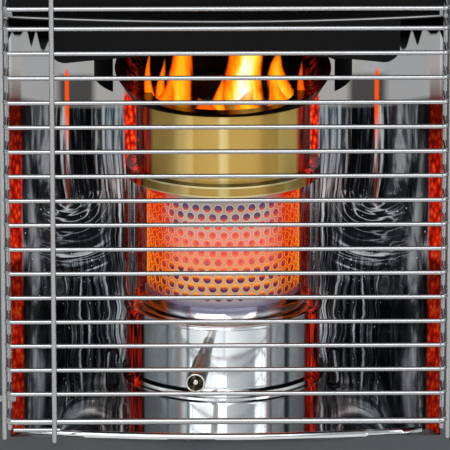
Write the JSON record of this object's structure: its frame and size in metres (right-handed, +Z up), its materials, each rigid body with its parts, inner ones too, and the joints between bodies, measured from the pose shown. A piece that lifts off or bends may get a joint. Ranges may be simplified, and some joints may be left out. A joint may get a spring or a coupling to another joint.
{
  "type": "liquid fuel heater",
  "caption": "Radiant wick heater for liquid fuel with a polished reflector, a glowing perforated burner behind glass, a wire guard, a wick knob and a lift-out cartridge tank.",
  "frame": {"origin": "centre of the base tray on the ground", "axes": "+X to the right seen from the front, +Y to the back, +Z up; the front faces -Y"},
  "size_m": [0.444, 0.31, 0.4431],
  "materials": {
    "cabinet_paint": "satin dark grey baked paint",
    "black_enamel": "glossy black enamel",
    "polished_steel": "polished stainless sheet, slightly wavy",
    "chrome": "bright chrome",
    "guard_wire": "bright nickel plate",
    "galvanised_steel": "galvanised",
    "brass": "polished, drawn",
    "glowing_steel": "heat-resisting steel at orange heat",
    "heat_stained_steel": "darkened by heat",
    "burner_glass": "clear heat-proof glass",
    "rubber": "matte",
    "black_plastic": "fine grained",
    "red_plastic": "moulded",
    "float_plastic": "moulded",
    "clear_plastic": "clear moulded plastic",
    "wick_fibre": "woven glass fibre and cotton",
    "ceramic": "unglazed",
    "cell_wrap": "plain metal wrap"
  },
  "bodies": {
    "cabinet": {"base_tray": "cabinet_paint", "rubber_feet": "rubber", "left_side": "cabinet_paint", "right_side": "cabinet_paint", "rear_panel": "cabinet_paint", "control_panel": "cabinet_paint", "top_fascia": "black_enamel", "top_plate": "black_enamel", "tank_partition": "galvanised_steel", "cabinet_screws": "galvanised_steel", "reservoir": "galvanised_steel", "tank_receiver": "galvanised_steel", "gauge_window": "clear_plastic", "draft_tube": "galvanised_steel", "wick_guide": "galvanised_steel", "dial_ring": "chrome", "shaft_bush": "brass", "rocker_bracket": "galvanised_steel", "battery_box": "black_plastic", "battery_cells": "cell_wrap", "reflector": "polished_steel", "reflector_floor": "polished_steel", "ceiling": "black_enamel", "ceiling_bead": "chrome", "upper_baffle": "black_enamel", "flame_skirt": "black_enamel", "guard_eyes": "guard_wire", "guard_catch": "guard_wire", "handle_studs": "chrome"},
    "tank": {"cartridge_tank": "galvanised_steel", "tank_cover": "black_enamel"},
    "tank_bail": {"tank_bail": "chrome"},
    "tank_cap": {"tank_cap": "red_plastic"},
    "gauge": {"gauge_float": "float_plastic"},
    "knob": {"wick_shaft": "galvanised_steel", "wick_pinion": "galvanised_steel", "wick_knob": "black_plastic"},
    "wick": {"wick": "wick_fibre", "wick_holder": "galvanised_steel"},
    "burner": {"burner_drum": "chrome", "outer_flame_tube": "glowing_steel", "inner_flame_tube": "glowing_steel", "flame_spreader": "heat_stained_steel", "cross_pins": "heat_stained_steel", "glass": "burner_glass", "lip_ring": "brass", "brass_sleeve": "brass", "flame_collar": "heat_stained_steel", "handle_rod": "heat_stained_steel", "handle_grip": "heat_stained_steel"},
    "igniter": {"igniter_rocker": "galvanised_steel", "igniter_tab": "black_plastic", "igniter_plug": "ceramic"},
    "stop_button": {"stop_button": "red_plastic"},
    "guard": {"guard_front": "guard_wire", "guard_left": "guard_wire", "guard_right": "guard_wire"},
    "carry_handle": {"carry_handle": "chrome", "carry_grip": "black_plastic"},
    "battery_door": {"battery_door": "black_plastic"}
  },
  "joints": [
    {"name": "tank_lift", "type": "slide", "parent": "cabinet", "child": "tank", "axis": [0, 0, 1], "range_m": [0, 0.37]},
    {"name": "bail_pivot", "type": "hinge", "parent": "tank", "child": "tank_bail", "pos_m": [0.1345, 0.014, 0.4386], "axis": [-1, 0, 0], "range_deg": [0, 95]},
    {"name": "cap_turn", "type": "hinge", "parent": "tank", "child": "tank_cap", "pos_m": [0.1345, 0.014, 0.0832], "axis": [0, 0, 1], "range_deg": [0, 270]},
    {"name": "float_rise", "type": "slide", "parent": "cabinet", "child": "gauge", "axis": [0, 0, 1], "range_m": [-0.013, 0], "stiffness_N_per_m": 60, "springref_m": 0.002},
    {"name": "knob_turn", "type": "hinge", "parent": "cabinet", "child": "knob", "pos_m": [-0.01365, -0.102, 0.0962], "axis": [0, 1, 0], "range_deg": [-115, 0]},
    {"name": "wick_lift", "type": "slide", "parent": "cabinet", "child": "wick", "axis": [0, 0, 1], "range_m": [-0.012, 0]},
    {"name": "burner_turn", "type": "hinge", "parent": "cabinet", "child": "burner", "pos_m": [-0.06, 0.022, 0.1503], "axis": [0, 0, 1], "range_deg": [-8, 8]},
    {"name": "igniter_press", "type": "hinge", "parent": "cabinet", "child": "igniter", "pos_m": [-0.08, -0.062, 0.1262], "axis": [1, 0, 0], "range_deg": [0, 14], "stiffness_Nm_per_rad": 0.3, "springref_deg": -11.46},
    {"name": "stop_press", "type": "slide", "parent": "cabinet", "child": "stop_button", "axis": [0, 1, 0], "range_m": [0, 0.005], "stiffness_N_per_m": 200, "springref_m": -0.004},
    {"name": "guard_swing", "type": "hinge", "parent": "cabinet", "child": "guard", "pos_m": [-0.1793, -0.1072, 0.2834], "axis": [0, 0, -1], "range_deg": [0, 90]},
    {"name": "handle_swing", "type": "hinge", "parent": "cabinet", "child": "carry_handle", "pos_m": [0, 0.0925, 0.398], "axis": [1, 0, 0], "range_deg": [0, 140]},
    {"name": "battery_door_swing", "type": "hinge", "parent": "cabinet", "child": "battery_door", "pos_m": [-0.133, 0.1329, 0.1066], "axis": [1, 0, 0], "range_deg": [0, 95]}
  ],
  "couplings": [
    {"joint": "knob_turn", "follows": "wick_lift", "rad_per_m": 166.67}
  ]
}
